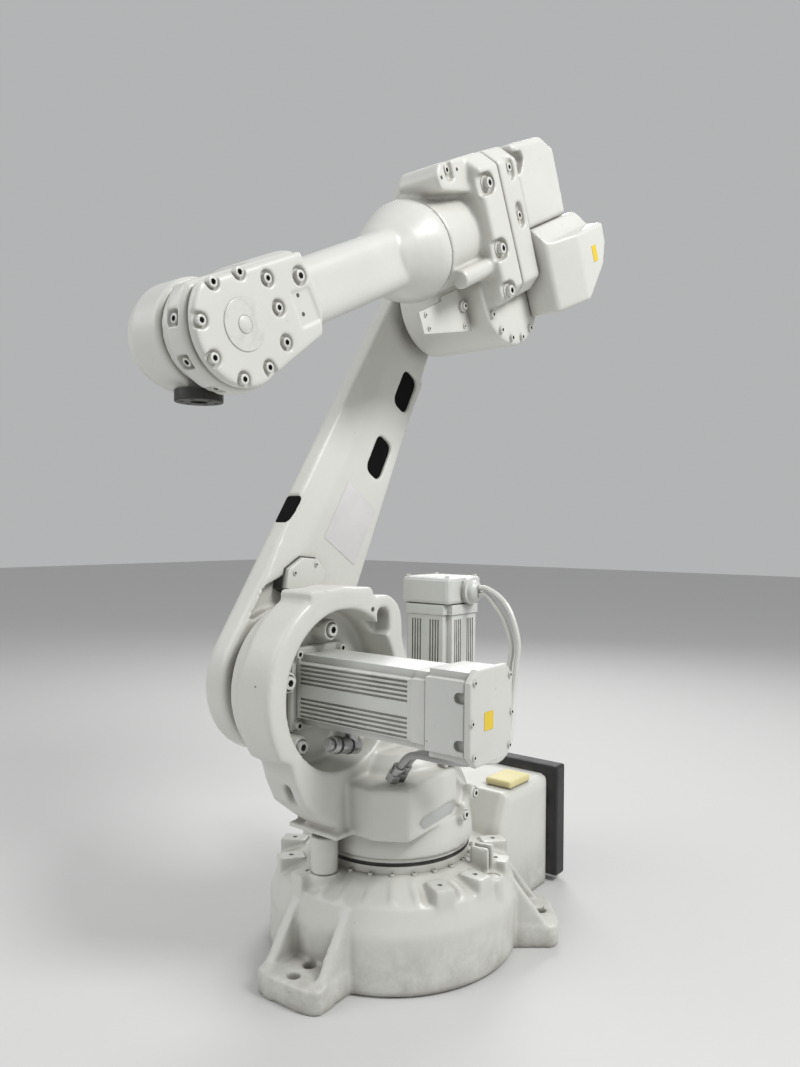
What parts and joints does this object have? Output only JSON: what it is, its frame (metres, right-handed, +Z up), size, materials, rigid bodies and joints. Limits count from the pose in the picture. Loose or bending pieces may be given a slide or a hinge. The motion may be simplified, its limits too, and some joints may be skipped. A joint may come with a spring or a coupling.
{
  "type": "industrial robot arm",
  "caption": "Six-axis industrial robot arm on a round cast base, with a backward-leaning lower arm, a forearm tube and a wrist that ends in a tool flange.",
  "frame": {"origin": "on the floor under the base, on axis 1", "axes": "+Z up along axis 1, +X forwards in the plane of the arm, +Y to the robot's left, where motor 2 stands out"},
  "size_m": [1.0738, 0.6015, 1.6087],
  "materials": {
    "white_paint": "semi-gloss paint on cast metal",
    "black_plastic": "matte",
    "black_steel": "blackened machined steel",
    "bare_steel": "machined",
    "cable_jacket": "smooth jacket",
    "yellow_plastic": "satin"
  },
  "bodies": {
    "base": {"base_casting": "white_paint", "stop_post": "white_paint", "connector_panel": "black_plastic", "terminal_cover": "yellow_plastic", "turntable_ring": "black_steel"},
    "turret": {"turret_casting": "white_paint", "axis_2_gearbox": "bare_steel", "motor_1_flange": "white_paint", "motor_1_body": "white_paint", "motor_1_cap": "white_paint", "motor_1_connector": "white_paint", "motor_1_power_cable": "cable_jacket", "motor_1_signal_cable": "cable_jacket", "motor_2_flange": "white_paint", "motor_2_body": "white_paint", "motor_2_cap": "white_paint", "motor_2_end_cover": "white_paint"},
    "lower_arm": {"lower_arm_casting": "white_paint", "upper_cable_window": "black_plastic", "lower_cable_window": "black_plastic"},
    "arm_house": {"arm_house_casting": "white_paint", "adapter_plate": "white_paint", "rear_motor_cover": "white_paint", "side_motor_cover": "white_paint", "axis_3_gearbox": "bare_steel", "cable_bracket": "white_paint"},
    "forearm": {"forearm_tube": "white_paint", "wrist_housing": "white_paint", "wrist_cover": "white_paint", "wrist_cap": "white_paint"},
    "wrist_tilt": {"tilt_housing": "white_paint"},
    "tool_flange": {"tool_flange": "black_steel"}
  },
  "joints": [
    {"name": "axis_1", "type": "hinge", "parent": "base", "child": "turret", "pos_m": [0, 0, 0.2], "axis": [0, 0, 1], "range_deg": [-180, 180]},
    {"name": "axis_2", "type": "hinge", "parent": "turret", "child": "lower_arm", "pos_m": [0.175, 0, 0.495], "axis": [0, 1, 0], "range_deg": [-61, 139]},
    {"name": "axis_3", "type": "hinge", "parent": "lower_arm", "child": "arm_house", "pos_m": [-0.26133, 0, 1.28216], "axis": [0, -1, 0], "range_deg": [-19, 236]},
    {"name": "axis_4", "type": "hinge", "parent": "arm_house", "child": "forearm", "pos_m": [-0.19913, 0.02, 1.40423], "axis": [0.891, 0, -0.454], "range_deg": [-400, 400]},
    {"name": "axis_5", "type": "hinge", "parent": "forearm", "child": "wrist_tilt", "pos_m": [0.48694, 0.02, 1.05465], "axis": [0, 1, 0], "range_deg": [-183, 57]},
    {"name": "axis_6", "type": "hinge", "parent": "wrist_tilt", "child": "tool_flange", "pos_m": [0.48694, 0.02, 1.05465], "axis": [0, 0, 1], "range_deg": [-400, 400]}
  ]
}
